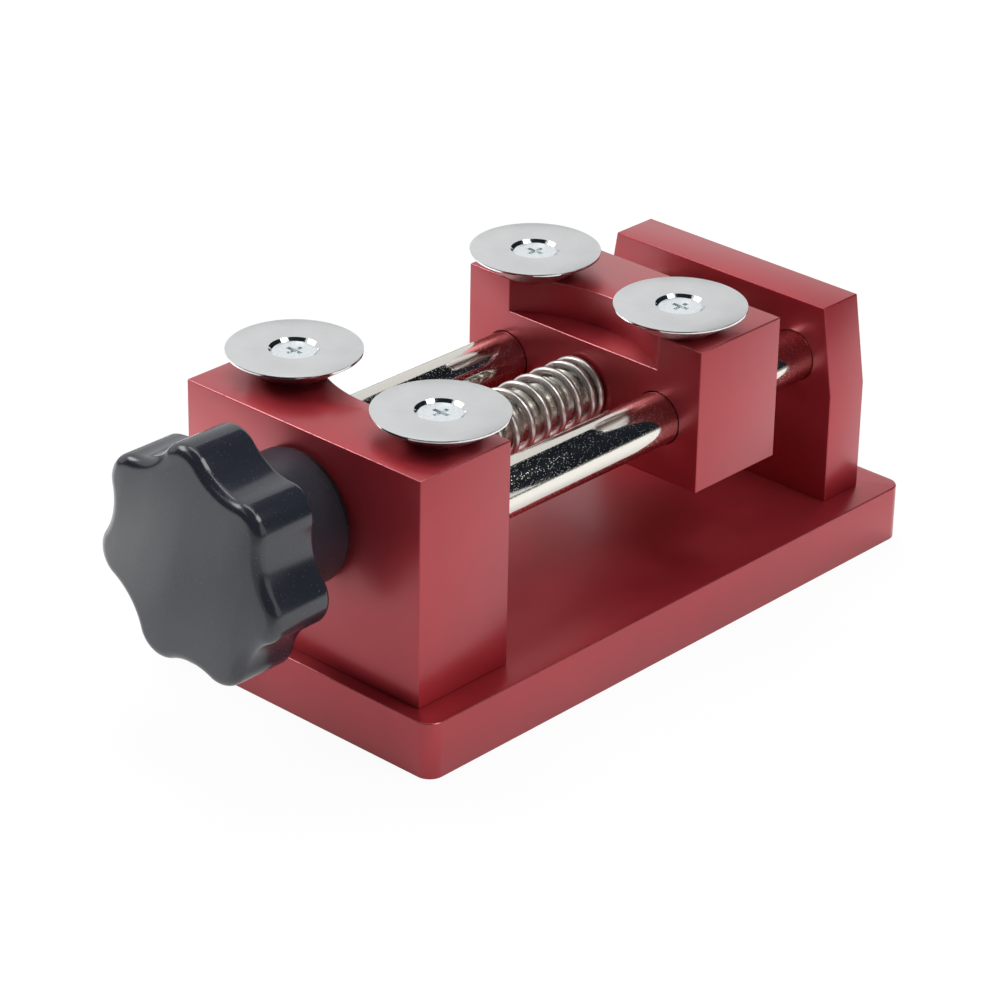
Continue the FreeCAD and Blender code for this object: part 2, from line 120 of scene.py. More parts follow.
class CaseOpenerSizes(PropertyGroup):
    """Sizes that the node boxes don't give."""

    edge_rounding: length("Edge rounding", "Rounding along the machined edges", 0.22)
    mouth_chamfer: length("Hole mouths", "Chamfer round the mouths of the bores", 0.1)
    corner_radius: length("Base corners", "Radius of the base plate's upright corners", 3.0)
    seat_radius: length("Seat radius", "Radius of the curved step that a watch rests in", 28.0)
    seat_reach: length("Seat reach", "How far the curved step cuts into a jaw", 6.7)
    seat_depth: length("Seat depth", "Depth of the curved step below the jaw's top", 6.6)
    kink_height: length("Kink height", "Height over the base where the rear plate leans in", 21.8)
    plate_top_width: length("Plate top width", "Width of the rear plate at its top", 51.0)
    thread_pitch: length("Thread pitch", "Travel of the moving jaw for one turn of the knob", 1.5)
    thread_depth: length("Thread depth", "Depth of the closing screw's thread", 0.92)
    spring_wire: length("Spring wire", "Diameter of the spring's wire", 1.4)
    spring_diameter: length("Spring diameter", "Outer diameter of the spring", 12.9)
    spring_turns: IntProperty(
        name="Spring turns", description="Number of turns of the spring", default=13, min=4,
    )
    spring_ease: FloatProperty(
        name="Spring ease", description="Turns at each end over which the pitch grows",
        default=1.85, min=0.1,
    )
    spring_end_pitch: length("Spring end pitch", "Pitch of the spring where its wire ends", 1.0)
    spring_start: FloatProperty(
        name="Spring start", description="Angle of the wire's first end, from +Y towards +Z",
        default=radians(250), subtype="ANGLE",
    )
    knob_lobes: IntProperty(
        name="Knob lobes", description="Number of lobes round the knob", default=7, min=3,
    )
    knob_tip: length("Lobe tips", "Radius of the knob over the tips of its lobes", 22.05)
    knob_notch: length("Lobe notches", "Radius of the knob between its lobes", 18.95)
    lobe_angle: FloatProperty(
        name="Lobe angle", description="Angle of one lobe, from +Y towards +Z",
        default=radians(89), subtype="ANGLE",
    )
    knob_thickness: length("Knob head", "Thickness of the lobed head", 13.5)
    lobe_radius: length("Lobe radius", "Radius of each round lobe", 5.6)
    front_rounding: length("Front rounding", "Rounding round the knob's front face", 2.1)
    back_rounding: length("Back rounding", "Rounding round the back of the knob's head", 1.4)
    hub_radius: length("Knob hub", "Radius of the round hub behind the head", 12.5)
    disc_rim: length("Disc rim", "Height of the disc's upright rim", 0.5)
    disc_foot: length("Disc foot", "Radius of the disc where it stands on the jaw", 6.5)
    disc_sink: length("Disc countersink", "Radius of the countersink at the disc's top", 4.5)
    recess_length: length("Recess length", "Tip to tip length of the cross recess", 4.6)
    recess_width: length("Recess width", "Width of the cross recess", 1.25)
    recess_depth: length("Recess depth", "Depth of the cross recess", 1.5)
    hex_key: length("Hex key", "Width across flats of the base screws' sockets", 3.0)


class CaseOpenerFinishes(PropertyGroup):
    """Colours of the finishes."""

    anodised_red: colour("Anodised red", "Dyed anodised aluminium", (0.40, 0.028, 0.039))
    # Painted highlight: a brighter tint of the dye for the rounded edges that face upwards; the darker
    # nicks in it are real wear.
    anodised_edge_highlight: colour("Painted edge highlight", "The same dye, painted brighter as a highlight on upward edges", (0.62, 0.17, 0.20))
    bright_nickel: colour("Bright nickel", "Plating on the guide rods", (0.75, 0.72, 0.66))
    spring_nickel: colour("Spring nickel", "Plating on the spring", (0.72, 0.70, 0.67))
    turned_steel: colour("Turned steel", "Faced steel of the discs", (0.74, 0.745, 0.75))
    zinc: colour("Zinc", "Bluish zinc plating on the disc screws", (0.88, 0.93, 0.95))
    knob_black: colour("Knob black", "Moulded black plastic", (0.018, 0.020, 0.028))
    bronze: colour("Bronze", "Bearing bronze of the nut and the bushes", (0.56, 0.33, 0.14))
    oxide: colour("Black oxide", "Blackened steel of the base screws", (0.030, 0.030, 0.033))
    screw_steel: colour("Screw steel", "Oiled steel of the closing screw", (0.62, 0.59, 0.54))


def sizes():
    return bpy.context.scene.case_opener_sizes


def finishes():
    return bpy.context.scene.case_opener_finishes


# Shader maths
class Signal:
    """A node's output that arithmetic works on: each sign adds its Math node."""

    def __init__(self, recipe, socket):
        self.recipe = recipe
        self.socket = socket

    def output(self, name):
        return Signal(self.recipe, self.socket.node.outputs[name])

    def maths(self, operation, *values):
        inputs = dict(enumerate(values))
        return self.recipe.add("ShaderNodeMath", {"operation": operation}, inputs)

    def __add__(self, other):
        return self.maths("ADD", self, other)

    def __radd__(self, other):
        return self.maths("ADD", other, self)

    def __sub__(self, other):
        return self.maths("SUBTRACT", self, other)

    def __rsub__(self, other):
        return self.maths("SUBTRACT", other, self)

    def __mul__(self, other):
        return self.maths("MULTIPLY", self, other)

    def __rmul__(self, other):
        return self.maths("MULTIPLY", other, self)


class Recipe:
    """The node tree of one material or of the world."""

    def __init__(self, owner):
        owner.use_nodes = True
        self.owner = owner
        self.tree = owner.node_tree
        self.tree.nodes.clear()

    def add(self, kind, settings=None, inputs=None, output=0):
        """Adds a node: its settings first, then the values or links of its sockets."""
        node = self.tree.nodes.new(kind)
        for name, value in (settings or {}).items():
            setattr(node, name, value)
        for name, value in (inputs or {}).items():
            if isinstance(value, Signal):
                self.tree.links.new(value.socket, node.inputs[name])
            else:
                node.inputs[name].default_value = value
        if not node.outputs:
            return None
        return Signal(self, node.outputs[output])

    def place(self, centre=(0, 0, 0), scale=(1, 1, 1)):
        """Object coordinates, moved so that the pattern's middle lies on centre."""
        coordinates = self.add("ShaderNodeTexCoord", output="Object")
        moved = tuple(-c * s for c, s in zip(centre, scale))
        return self.add(
            "ShaderNodeMapping", {"vector_type": "POINT"},
            {"Vector": coordinates, "Location": moved, "Scale": scale},
        )

    def noise(self, vector, grain, detail=2.0, roughness=0.5):
        """Noise whose grains are about as large as grain, in metres."""
        return self.add(
            "ShaderNodeTexNoise", {"noise_dimensions": "3D"},
            {"Vector": vector, "Scale": 1 / grain, "Detail": detail, "Roughness": roughness},
        )

    def distance(self, vector):
        return self.add("ShaderNodeVectorMath", {"operation": "LENGTH"}, {0: vector}, output="Value")

    def dots(self, vector, spacing):
        """Small round dots of many sizes, about spacing apart."""
        cells = self.add("ShaderNodeTexVoronoi", None, {"Vector": vector, "Scale": 1 / spacing})
        return self.spread(cells, 0.10, 0.27, 1.0, 0.0)

    def spread(self, value, low, high, new_low=0.0, new_high=1.0):
        """Stretches low..high onto new_low..new_high, with the ends held."""
        return self.add(
            "ShaderNodeMapRange", {"clamp": True},
            {"Value": value, "From Min": low, "From Max": high, "To Min": new_low, "To Max": new_high},
        )

    def mix(self, factor, first, second):
        settings = {"data_type": "RGBA", "blend_type": "MIX"}
        inputs = {0: factor, 6: solid(first), 7: solid(second)}
        return self.add("ShaderNodeMix", settings, inputs, output=2)

    def tinted(self, factor, finish, first, second):
        """One of the finishes at two brightnesses, mixed by factor."""
        tint = tuple(getattr(finishes(), finish))
        return self.mix(factor, brighter(tint, first), brighter(tint, second))

    def rays(self):
        """Rays straight from the camera, and rays that a mirror or a glass has turned."""
        path = self.add("ShaderNodeLightPath", output="Is Camera Ray")
        return path, path.output("Is Glossy Ray") + path.output("Is Transmission Ray")

    def bump(self, height, distance):
        inputs = {"Height": height, "Distance": distance, "Strength": 1.0}
        return self.add("ShaderNodeBump", None, inputs)

    def principled(self, **inputs):
        """Ends the material in one Principled shader, whose sockets are named in lower case."""
        named = {name.replace("_", " ").title(): value for name, value in inputs.items()}
        named = {name.replace("Ior", "IOR"): solid(value) for name, value in named.items()}
        return self.ending(self.add("ShaderNodeBsdfPrincipled", None, named))

    def ending(self, shader):
        self.add("ShaderNodeOutputMaterial", None, {"Surface": shader})
        return self.owner


def solid(value):
    """A colour of three numbers becomes one of four; anything else stays as it is."""
    if isinstance(value, Signal) or isinstance(value, (int, float)):
        return value
    return (*value, 1.0) if len(value) == 3 else value


def brighter(value, factor):
    return tuple(min(channel * factor, 1.0) for channel in value)


def new_recipe(name):
    return Recipe(bpy.data.materials.new(name))


def made_once(name):
    """Lets operators share a material: its first use makes it, and later uses find it."""
    def sharing(make):
        return lambda: bpy.data.materials.get(name) or make(new_recipe(name))
    return sharing


# Materials
@made_once("anodised aluminium")
def anodised_material(recipe):
    """Bead blasted and dyed aluminium under a thin clear oxide layer."""
    where = recipe.place()
    cloud = recipe.noise(where, 9 * MM, 3.0)
    blast = recipe.noise(where, 0.16 * MM, 2.0, 0.6)
    tone = recipe.spread(cloud, 0.3, 0.7)
    return recipe.principled(
        base_color=recipe.tinted(tone, "anodised_red", 0.95, 1.05),
        metallic=0.7,
        roughness=recipe.spread(cloud + 0.35 * blast, 0.4, 0.95, 0.40, 0.45),
        normal=recipe.bump(blast, 0.006 * MM),
        coat_weight=0.68,
        coat_roughness=0.24,
        coat_ior=1.5,
    )


@made_once("anodised edge")
def anodised_edge_highlight_material(recipe):
    """The same dye on edges cut after blasting, with small nicks, in a brighter tint that is a painted
    highlight.
    """
    where = recipe.place()
    nick = recipe.spread(recipe.noise(where, 0.8 * MM, 3.0, 0.7), 0.52, 0.62)
    return recipe.principled(
        base_color=recipe.tinted(nick, "anodised_edge_highlight", 1.0, 0.5),
        metallic=0.9,
        roughness=0.30 + 0.1 * nick,
        coat_weight=1.0,
        coat_roughness=0.2,
        coat_ior=1.5,
    )


@made_once("bright nickel")
def bright_nickel_material(recipe):
    """Bright plating over drawn rod: a mirror with faint orange peel and many dull specks."""
    where = recipe.place()
    stretched = recipe.place(scale=(0.3, 1, 1))
    peel = recipe.noise(where, 0.5 * MM, 2.0, 0.6)
    drawn = recipe.noise(stretched, 0.9 * MM, 2.0, 0.5)
    specks = recipe.dots(where, 0.36 * MM)
    return recipe.principled(
        base_color=recipe.tinted(specks, "bright_nickel", 1.0, 1.1),
        metallic=1.0,
        roughness=recipe.spread(drawn, 0.3, 0.7, 0.06, 0.11) + 0.3 * specks,
        normal=recipe.bump(0.5 * peel + 0.4 * drawn + specks, 0.008 * MM),
    )


@made_once("plated spring wire")
def spring_material(recipe):
    """Satin plating over hard drawn wire."""
    where = recipe.place()
    grime = recipe.spread(recipe.noise(where, 1.2 * MM, 3.0, 0.6), 0.45, 0.7)
    fine = recipe.noise(where, 0.12 * MM, 2.0, 0.6)
    return recipe.principled(
        base_color=recipe.tinted(grime, "spring_nickel", 1.0, 0.82),
        metallic=1.0,
        roughness=0.34 + 0.08 * grime,
        normal=recipe.bump(fine, 0.004 * MM),
    )


def disc_material(name, middle):
    """Steel faced on a lathe: fine rings about the disc's own axis."""
    recipe = new_recipe(name)
    where = recipe.place(centre=(middle.x, middle.y, 0))
    flat = recipe.add(
        "ShaderNodeVectorMath", {"operation": "MULTIPLY"}, {0: where, 1: (1.0, 1.0, 0.0)},
    )
    from_axis = recipe.add("ShaderNodeCombineXYZ", None, {0: recipe.distance(flat)})
    rings = recipe.noise(from_axis, 0.11 * MM, 3.0, 0.7)
    stain = recipe.spread(recipe.noise(where, 5 * MM, 3.0, 0.6), 0.42, 0.7)
    return recipe.principled(
        base_color=recipe.tinted(stain, "turned_steel", 1.0, 0.94),
        metallic=1.0,
        roughness=0.26 + 0.08 * rings,
        normal=recipe.bump(rings, 0.008 * MM),
    )


@made_once("polished steel")
def polished_steel_material(recipe):
    """Steel of the countersinks and rims, cut with a fine feed and left like a mirror."""
    where = recipe.place()
    chatter = recipe.noise(where, 0.5 * MM, 2.0, 0.6)
    tone = recipe.spread(chatter, 0.4, 0.7)
    return recipe.principled(
        base_color=recipe.tinted(tone, "turned_steel", 1.0, 0.9),
        metallic=1.0,
        roughness=recipe.spread(chatter, 0.3, 0.7, 0.06, 0.12),
        normal=recipe.bump(chatter, 0.01 * MM),
    )


@made_once("bright zinc")
def zinc_material(recipe):
    """Bluish zinc plating, slightly uneven."""
    where = recipe.place()
    uneven = recipe.noise(where, 0.6 * MM, 3.0, 0.6)
    tone = recipe.spread(uneven, 0.35, 0.7)
    return recipe.principled(
        base_color=recipe.tinted(tone, "zinc", 1.05, 0.9),
        metallic=1.0,
        roughness=recipe.spread(uneven, 0.3, 0.7, 0.24, 0.36),
        normal=recipe.bump(uneven, 0.012 * MM),
    )


@made_once("dull zinc")
def dull_zinc_material(recipe):
    """Thin, dull plating at the bottom of a punched recess."""
    where = recipe.place()
    uneven = recipe.noise(where, 0.5 * MM, 3.0, 0.6)
    tone = recipe.spread(uneven, 0.35, 0.65)
    return recipe.principled(
        base_color=recipe.tinted(tone, "zinc", 1.06, 0.9),
        metallic=1.0,
        roughness=0.34,
        normal=recipe.bump(uneven, 0.03 * MM),
    )


@made_once("glossy black plastic")
def knob_material(recipe):
    """Moulded black plastic with a high gloss."""
    where = recipe.place()
    wave = recipe.noise(where, 7 * MM, 2.0, 0.4)
    dust = recipe.spread(recipe.noise(where, 0.25 * MM, 1.0, 0.5), 0.72, 0.76)
    black = tuple(finishes().knob_black)
    return recipe.principled(
        base_color=recipe.mix(dust, black, (0.10, 0.10, 0.11)),
        roughness=recipe.spread(wave, 0.3, 0.7, 0.15, 0.21) + 0.2 * dust,
        normal=recipe.bump(wave, 0.02 * MM),
        ior=1.6,
    )


@made_once("satin black plastic")
def knob_hub_material(recipe):
    """The same plastic, left satin on the hub."""
    where = recipe.place()
    grain = recipe.noise(where, 0.2 * MM, 2.0, 0.6)
    dust = recipe.spread(recipe.noise(where, 0.25 * MM, 1.0, 0.5), 0.68, 0.74)
    black = tuple(finishes().knob_black)
    return recipe.principled(
        base_color=recipe.mix(dust, black, (0.07, 0.07, 0.08)),
        roughness=recipe.spread(grain, 0.3, 0.7, 0.38, 0.46),
        normal=recipe.bump(grain, 0.004 * MM),
    )


@made_once("oiled steel")
def screw_steel_material(recipe):
    """Oiled steel, darker in patches."""
    where = recipe.place()
    oil = recipe.spread(recipe.noise(where, 1.5 * MM, 3.0, 0.6), 0.4, 0.7)
    return recipe.principled(
        base_color=recipe.tinted(oil, "screw_steel", 1.0, 0.75),
        metallic=1.0,
        roughness=0.26 + 0.12 * oil,
    )


@made_once("bearing bronze")
def bronze_material(recipe):
    """Sintered bronze with its fine open pores."""
    where = recipe.place()
    pores = recipe.spread(recipe.noise(where, 0.3 * MM, 2.0, 0.6), 0.58, 0.66)
    return recipe.principled(
        base_color=recipe.tinted(pores, "bronze", 1.0, 0.35),
        metallic=1.0,
        roughness=0.34 + 0.2 * pores,
        normal=recipe.bump(1.0 - pores, 0.02 * MM),
    )


@made_once("black oxide")
def oxide_material(recipe):
    """Black oxide, a little worn."""
    where = recipe.place()
    worn = recipe.spread(recipe.noise(where, 0.5 * MM, 3.0, 0.6), 0.5, 0.75)
    return recipe.principled(
        base_color=recipe.tinted(worn, "oxide", 1.0, 2.2),
        metallic=0.7,
        roughness=0.42 - 0.1 * worn,
    )


# Modelling by hand
def deselect_all():
    bpy.ops.object.select_all(action="DESELECT")


def make_active(piece):
    deselect_all()
    piece.select_set(True)
    bpy.context.view_layer.objects.active = piece


def take_new_piece(name):
    piece = bpy.context.active_object
    piece.name = name
    piece.data.name = name
    return piece


def apply_place(piece):
    make_active(piece)
    bpy.ops.object.transform_apply(location=True, rotation=True, scale=True)


def add_block(name, low, high):
    deselect_all()
    bpy.ops.mesh.primitive_cube_add(size=1, location=(low + high) / 2, scale=high - low)
    piece = take_new_piece(name)
    apply_place(piece)
    return piece


class Editing:
    """Edit mode on one piece, with a way to select its edges, faces or points by a test."""

    def __init__(self, piece, kind):
        self.piece = piece
        self.kind = kind

    def __enter__(self):
        make_active(self.piece)
        bpy.ops.object.mode_set(mode="EDIT")
        bpy.ops.mesh.select_mode(type=self.kind)
        return self

    def __exit__(self, *problem):
        bpy.ops.object.mode_set(mode="OBJECT")

    def pick(self, test):
        bpy.ops.mesh.select_all(action="DESELECT")
        shape = bmesh.from_edit_mesh(self.piece.data)
        members = {"VERT": shape.verts, "EDGE": shape.edges, "FACE": shape.faces}[self.kind]
        found = [member for member in members if test(member)]
        if not found:
            raise RuntimeError("nothing to select on " + self.piece.name)
        for member in found:
            member.select_set(True)
        bmesh.update_edit_mesh(self.piece.data)

    def everything(self):
        bpy.ops.mesh.select_all(action="SELECT")


def runs_along(edge, axis):
    """True if an edge runs along an axis."""
    way = (edge.verts[1].co - edge.verts[0].co).normalized()
    return abs(way.dot(axis)) > 0.999


def apply_modifier(piece, kind, **settings):
    make_active(piece)
    modifier = piece.modifiers.new(kind.title(), kind)
    for name, value in settings.items():
        setattr(modifier, name, value)
    bpy.ops.object.modifier_apply(modifier=modifier.name)


def combine(piece, other, operation):
    apply_modifier(piece, "BOOLEAN", operation=operation, solver="EXACT", object=other)
    bpy.data.objects.remove(other)


def cut(piece, *cutters):
    for cutter in cutters:
        combine(piece, cutter, "DIFFERENCE")


def round_outer_edges(piece):
    """Rounds the edges that stand proud by over 25 degrees."""
    with Editing(piece, "EDGE") as edit:
        edit.pick(lambda edge: edge.calc_face_angle_signed(0) > radians(25))
        bpy.ops.mesh.bevel(
            offset=sizes().edge_rounding, segments=3, affect="EDGES", clamp_overlap=False,
        )


def paint_top_edge_highlights(piece):
    """Gives the rounded edges that look upwards the second finish, whose brighter tint is a painted
    highlight on the edges that face the light.
    """
    finish_faces(piece, lambda face: 0.3 < face.normal.z < 0.95)


def finish_faces(piece, test):
    """Gives the second finish to the faces that pass a test."""
    while len(piece.material_slots) < 2:
        piece.data.materials.append(None)
    piece.active_material_index = 1
    with Editing(piece, "FACE") as edit:
        edit.pick(test)
        bpy.ops.object.material_slot_assign()


def outline(name, points):
    """Line of edges: one point, extruded to each of the next points."""
    deselect_all()
    bpy.ops.mesh.primitive_plane_add(size=MM, location=points[0])
    piece = take_new_piece(name)
    with Editing(piece, "VERT") as edit:
        edit.everything()
        bpy.ops.mesh.merge(type="CENTER")
        for here, there in zip(points, points[1:]):
            bpy.ops.mesh.extrude_region_move(TRANSFORM_OT_translate={"value": there - here})
    return piece


def turned(name, profile, foot, axis, steps):
    """Solid turned about an axis through foot: profile is (along, radius) points in order."""
    outward = Y_AXIS if axis == X_AXIS else X_AXIS
    piece = outline(name, [foot + axis * along + outward * radius for along, radius in profile])
    with Editing(piece, "VERT") as edit:
        edit.everything()
        bpy.ops.mesh.spin(steps=steps, angle=2 * pi, center=foot, axis=axis)
        edit.everything()
        bpy.ops.mesh.remove_doubles(threshold=MERGE_REACH)
        bpy.ops.mesh.normals_make_consistent(inside=False)
    apply_place(piece)
    return piece


def rounded_rim(end, radius, r, way):
    """Three profile points that round a rim, from the end face back along the side."""
    return [(end, radius - r), (end + way * 0.3 * r, radius - 0.3 * r), (end + way * r, radius)]


def lying(name, profile, y=0.0, steps=96):
    """Solid turned about an axis along X at the closing screw's height."""
    return turned(name, profile, Vector((0, y, AXIS_HEIGHT)), X_AXIS, steps)


def standing(name, profile, place, steps):
    """Solid turned about an upright axis through a place."""
    return turned(name, profile, Vector((place.x, place.y, 0)), Z_AXIS, steps)


def plain(radius, start, end):
    """Profile of a plain rod."""
    return [(start, 0), (start, radius), (end, radius), (end, 0)]


def bore(radius, mouth, end, y):
    """Cutter for a bore along X at the axis height, with a fine chamfer where it opens at mouth."""
    way = 1 if end > mouth else -1
    chamfer = sizes().mouth_chamfer
    profile = [
        (mouth - way * MM, 0), (mouth - way * MM, radius + chamfer), (mouth, radius + chamfer),
        (mouth + way * chamfer, radius), (end, radius), (end, 0),
    ]
    return lying("bore", profile, y, 128)


def tube(name, box, inner):
    """Turned ring along X that fills a node's box, with chamfered rims and closed on itself."""
    radius, start, end = box.size.y / 2, box.low.x, box.high.x
    r = 0.15 * MM
    profile = [
        (start + r, inner), (start, inner + r), (start, radius - r), (start + r, radius),
        (end - r, radius), (end, radius - r), (end, inner + r), (end - r, inner), (start + r, inner),
    ]
    return lying(name, profile, box.middle.y)


def join(name, pieces):
    deselect_all()
    for piece in pieces:
        piece.select_set(True)
    bpy.context.view_layer.objects.active = pieces[0]
    bpy.ops.object.join()
    return take_new_piece(name)


def fill_slots(piece, materials):
    for index, material in enumerate(materials):
        if index < len(piece.material_slots):
            piece.material_slots[index].material = material
        else:
            piece.data.materials.append(material)


def hand_over(piece, materials, node, body, angle=30):
    """Gives a piece its finish and puts it in place of its CAD node."""
    make_active(piece)
    bpy.ops.object.shade_smooth_by_angle(angle=radians(angle))
    fill_slots(piece, materials)
    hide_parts(node)
    if body:
        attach(piece, body)


def hand_over_anodised(piece, node, body):
    # The second material's brighter tint is the painted edge highlight.
    materials = [anodised_material(), anodised_edge_highlight_material()]
    hand_over(piece, materials, node, body)


# Base plate and its screws
class CASEOPENER_OT_base_plate(Operator):
    """Thick plate with round corners and four countersunk holes from below"""

    bl_idname = "case_opener.base_plate"
    bl_label = "Base plate"

    def execute(self, context):
        plate = add_block("base_plate_finished", BASE.low, BASE.high)
        with Editing(plate, "EDGE") as edit:
            edit.pick(lambda edge: runs_along(edge, Z_AXIS))
            bpy.ops.mesh.bevel(offset=sizes().corner_radius, segments=16, affect="EDGES")
        round_outer_edges(plate)
        paint_top_edge_highlights(plate)
        cut(plate, *[self.countersink(node, side) for node in BASE_SCREW_NODES for side in (-1, 1)])
        hand_over_anodised(plate, "base_plate", "vice_frame")
        return {"FINISHED"}

    def countersink(self, node, side):
        wide, narrow, end = BASE_SCREW_SINK, BASE_SCREW_SHANK + OPEN_FIT, BASE.high.z + MM
        profile = [(-MM, 0), (-MM, wide + MM), (wide - narrow, narrow), (end, narrow), (end, 0)]
        return standing("hole", profile, base_screw_place(node, side), 64)


BASE_SCREW_NODES = ("fixed_jaw_screws", "rear_plate_screws")


def base_screw_place(node, side):
    box = Extent(node)
    head_radius = box.size.x / 2
    return Vector((box.middle.x, side * (box.high.y - head_radius), 0))


def screw_hole(place, radius, low, high):
    """Upright cutter for a screw's blind hole."""
    return standing("hole", plain(radius + SEATED_FIT, low, high), place, 48)


def base_screw_holes(node):
    places = [base_screw_place(node, side) for side in (-1, 1)]
    low, high = BASE.high.z - MM, BASE_SCREW_HOLE_END
    return [screw_hole(place, BASE_SCREW_SHANK, low, high) for place in places]


def disc_screw_holes(jaw, box):
    places = [Extent(jaw + "_disc_" + side).middle for side in SIDES]
    low, high = box.high.z - DISC_SCREW_HOLE_DEPTH, box.high.z + MM
    return [screw_hole(place, DISC_SCREW_SHANK, low, high) for place in places]


class CASEOPENER_OT_base_screws(Operator):
    """Countersunk hex socket screws, flush under the base plate"""

    bl_idname = "case_opener.base_screws"
    bl_label = "Base screws"

    def execute(self, context):
        for node in BASE_SCREW_NODES:
            pair = join(node + "_finished", [self.screw(node, side) for side in (-1, 1)])
            hand_over(pair, [oxide_material()], node, "vice_frame")
        return {"FINISHED"}

    def screw(self, node, side):
        box = Extent(node)
        place = base_screw_place(node, side)
        head, shank = box.size.x / 2, BASE_SCREW_SHANK
        low, high = box.low.z, box.high.z
        r, tip = 0.12 * MM, 0.5 * MM
        profile = [
            (low, 0), (low, head - r), (low + r, head), (low + head - shank, shank),
            (high - tip, shank), (high, shank - tip), (high, 0),
        ]
        screw = standing("base_screw", profile, place, 64)
        bpy.ops.mesh.primitive_cylinder_add(
            vertices=6, radius=sizes().hex_key / sqrt(3), depth=2 * HEX_SOCKET_DEPTH, location=place,
        )
        cut(screw, take_new_piece("hex"))
        return screw


# Jaws and rear plate
def seat_cutter(box, inner_x, into_jaw):
    """Flat round cutter for the curved step that a watch rests in."""
    radius, floor = sizes().seat_radius, box.high.z - sizes().seat_depth
    centre = Vector((inner_x + into_jaw * (sizes().seat_reach - radius), 0, 0))
    return standing("seat", plain(radius, floor, box.high.z + MM), centre, 360)


def rod_sockets(mouth, hidden_end):
    """Cutters for the blind sockets of both rods: hidden_end picks the rods' end from their box."""
    guides = [Extent("guide_rod_" + side) for side in SIDES]
    return [
        bore(guide.size.y / 2 + SEATED_FIT, mouth, hidden_end(guide), guide.middle.y)
        for guide in guides
    ]


class CASEOPENER_OT_fixed_jaw(Operator):
    """Block at the knob end, with the curved step and the rods' sockets"""

    bl_idname = "case_opener.fixed_jaw"
    bl_label = "Fixed jaw"

    def execute(self, context):
        jaw = add_block("fixed_jaw_finished", FIXED_JAW.low, FIXED_JAW.high)
        cut(jaw, seat_cutter(FIXED_JAW, FIXED_JAW.high.x, -1))
        round_outer_edges(jaw)
        paint_top_edge_highlights(jaw)
        cut(jaw, *rod_sockets(FIXED_JAW.high.x, lambda guide: guide.low.x))
        radius = Extent("screw_bush").size.z / 2 + SEATED_FIT
        cut(jaw, lying("bore", plain(radius, FIXED_JAW.low.x - MM, FIXED_JAW.high.x + MM)))
        cut(jaw, *disc_screw_holes("fixed", FIXED_JAW), *base_screw_holes("fixed_jaw_screws"))
        hand_over_anodised(jaw, "fixed_jaw", "vice_frame")
        return {"FINISHED"}


class CASEOPENER_OT_moving_jaw(Operator):
    """Sliding block, with the curved step and the bores for its bushes and nut"""

    bl_idname = "case_opener.moving_jaw"
    bl_label = "Moving jaw"

    def execute(self, context):
        jaw = add_block("moving_jaw_finished", MOVING_JAW.low, MOVING_JAW.high)
        cut(jaw, seat_cutter(MOVING_JAW, MOVING_JAW.low.x, 1))
        round_outer_edges(jaw)
        paint_top_edge_highlights(jaw)
        mouth, end = MOVING_JAW.low.x, MOVING_JAW.high.x + MM
        cutters = []
        for side in SIDES:
            guide = Extent("guide_rod_" + side)
            bush = Extent("jaw_bush_" + side)
            cutters.append(bore(guide.size.y / 2 + GUIDE_FIT, mouth, end, guide.middle.y))
            cutters.append(self.bearing_seat(bush, end))
        cutters.append(bore(SCREW.size.z / 2 + OPEN_FIT, mouth, end, 0))
        cutters.append(self.bearing_seat(Extent("lead_nut"), end))
        cutters += disc_screw_holes("moving", MOVING_JAW)
        cut(jaw, *cutters)
        hand_over_anodised(jaw, "moving_jaw", "jaw_carriage")
        return {"FINISHED"}

    def bearing_seat(self, box, end):
        """Cutter for the seat of a bush or of the nut."""
        return lying("seat", plain(box.size.y / 2 + SEATED_FIT, box.low.x, end), box.middle.y)


class CASEOPENER_OT_rear_plate(Operator):
    """End plate whose sides lean in above the kink"""

    bl_idname = "case_opener.rear_plate"
    bl_label = "Rear plate"

    def execute(self, context):
        plate = add_block("rear_plate_finished", REAR_PLATE.low, REAR_PLATE.high)
        kink = REAR_PLATE.low.z + sizes().kink_height
        with Editing(plate, "VERT") as edit:
            edit.everything()
            bpy.ops.mesh.bisect(plane_co=(0, 0, kink), plane_no=(0, 0, 1))
            edit.pick(lambda point: point.co.z > kink + MM)
            narrower = (1, sizes().plate_top_width / REAR_PLATE.size.y, 1)
            middle = (REAR_PLATE.middle.x, 0, kink)
            bpy.ops.transform.resize(value=narrower, center_override=middle)
        round_outer_edges(plate)
        cut(plate, *rod_sockets(REAR_PLATE.low.x, lambda guide: guide.high.x))
        cut(plate, *base_screw_holes("rear_plate_screws"))
        hand_over_anodised(plate, "rear_plate", "vice_frame")
        return {"FINISHED"}


# Rods, bushes, nut, washer and screw
class CASEOPENER_OT_guide_rods(Operator):
    """Two bright plated rods with rounded ends"""

    bl_idname = "case_opener.guide_rods"
    bl_label = "Guide rods"

    def execute(self, context):
        for side in SIDES:
            node = "guide_rod_" + side
            box = Extent(node)
            radius, start, end = box.size.y / 2, box.low.x, box.high.x
            r = 0.5 * MM
            first, last = rounded_rim(start, radius, r, 1), rounded_rim(end, radius, r, -1)
            profile = [(start, 0), *first, *reversed(last), (end, 0)]
            piece = lying(node + "_finished", profile, box.middle.y, 128)
            hand_over(piece, [bright_nickel_material()], node, "vice_frame")
        return {"FINISHED"}


